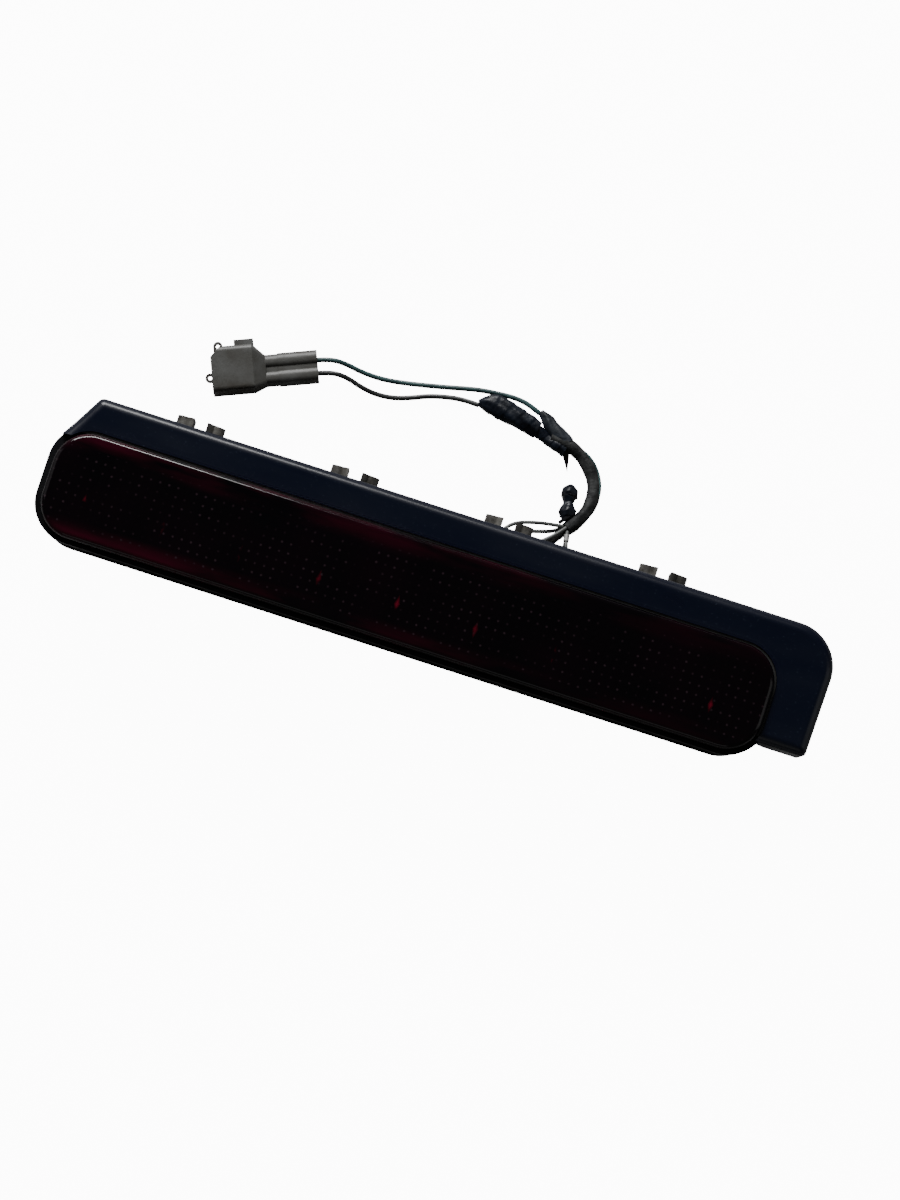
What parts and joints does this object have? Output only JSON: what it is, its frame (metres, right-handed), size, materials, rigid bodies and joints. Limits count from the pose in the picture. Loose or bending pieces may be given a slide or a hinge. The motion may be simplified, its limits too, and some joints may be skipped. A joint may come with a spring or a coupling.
{
  "type": "third brake light",
  "caption": "High-mounted brake lamp with a smoked red lens, gloss cover, twist-in bulb sockets and a wired plug.",
  "frame": {"origin": "middle of the lamp's plan, without its free harness, at the level of the stud tips", "axes": "+X along the lamp towards the cover's ear, +Y towards the sockets, +Z out of the lens"},
  "size_m": [0.35, 0.1278, 0.056],
  "materials": {
    "housing_black": "moulded, faint grain",
    "lens_red": "clear dark red, polished outside, pillow optics inside",
    "bond_black": "smooth",
    "reflector_silver": "aluminised",
    "screw_steel": "zinc plated",
    "cover_gloss": "gloss lacquer, lightly scratched",
    "seal_black": "smooth",
    "gasket_foam": "closed-cell foam",
    "stud_steel": "zinc plated",
    "tape_black": "cloth and vinyl tape",
    "clip_black": "moulded",
    "sleeve_grey": "smooth",
    "lead_green": "smooth insulation",
    "lead_black": "smooth insulation",
    "lead_grey": "smooth insulation",
    "connector_grey": "aged, slightly soiled",
    "holder_grey": "moulded",
    "wire_seal": "smooth",
    "terminal_brass": "tin plated",
    "socket_grey": "moulded",
    "bulb_glass": "clear",
    "filament_wire": "drawn wire"
  },
  "bodies": {
    "lamp": {"housing": "housing_black", "lens": "lens_red", "lens_bond": "bond_black", "reflector": "reflector_silver", "reflector_screws": "screw_steel", "cover": "cover_gloss", "cover_trim_seal": "seal_black", "cover_screws": "screw_steel", "base_gasket": "gasket_foam", "mounting_studs": "stud_steel", "socket_leads_1": "lead_grey", "socket_leads_2": "lead_grey", "socket_leads_3": "lead_grey", "socket_leads_4": "lead_grey", "harness_bundle": "tape_black", "cable_clip": "clip_black", "tape_flag": "tape_black", "splice_pack": "tape_black", "vinyl_sleeve": "sleeve_grey", "lead_green": "lead_green", "lead_black": "lead_black", "connector_housing": "connector_grey", "connector_wire_seals": "wire_seal", "connector_terminals": "terminal_brass"},
    "socket_unit_1": {"socket_1": "socket_grey", "socket_seal_1": "seal_black", "socket_contacts_1": "terminal_brass", "bulb_1": "bulb_glass", "filament_1": "filament_wire"},
    "socket_unit_2": {"socket_2": "socket_grey", "socket_seal_2": "seal_black", "socket_contacts_2": "terminal_brass", "bulb_2": "bulb_glass", "filament_2": "filament_wire"},
    "socket_unit_3": {"socket_3": "socket_grey", "socket_seal_3": "seal_black", "socket_contacts_3": "terminal_brass", "bulb_3": "bulb_glass", "filament_3": "filament_wire"},
    "socket_unit_4": {"socket_4": "socket_grey", "socket_seal_4": "seal_black", "socket_contacts_4": "terminal_brass", "bulb_4": "bulb_glass", "filament_4": "filament_wire"},
    "front_holder": {"connector_front_holder": "holder_grey"}
  },
  "joints": [
    {"name": "socket_twist_1", "type": "hinge", "parent": "lamp", "child": "socket_unit_1", "pos_m": [-0.118, 0.0175, 0.032], "axis": [0, 1, 0], "range_deg": [0, 45]},
    {"name": "socket_twist_2", "type": "hinge", "parent": "lamp", "child": "socket_unit_2", "pos_m": [-0.0476, 0.0175, 0.032], "axis": [0, 1, 0], "range_deg": [0, 45]},
    {"name": "socket_twist_3", "type": "hinge", "parent": "lamp", "child": "socket_unit_3", "pos_m": [0.0228, 0.0175, 0.032], "axis": [0, 1, 0], "range_deg": [0, 45]},
    {"name": "socket_twist_4", "type": "hinge", "parent": "lamp", "child": "socket_unit_4", "pos_m": [0.0932, 0.0175, 0.032], "axis": [0, 1, 0], "range_deg": [0, 45]},
    {"name": "front_holder_slide", "type": "slide", "parent": "lamp", "child": "front_holder", "axis": [-0.9205, -0.3907, 0], "range_m": [0, 0.002]}
  ]
}
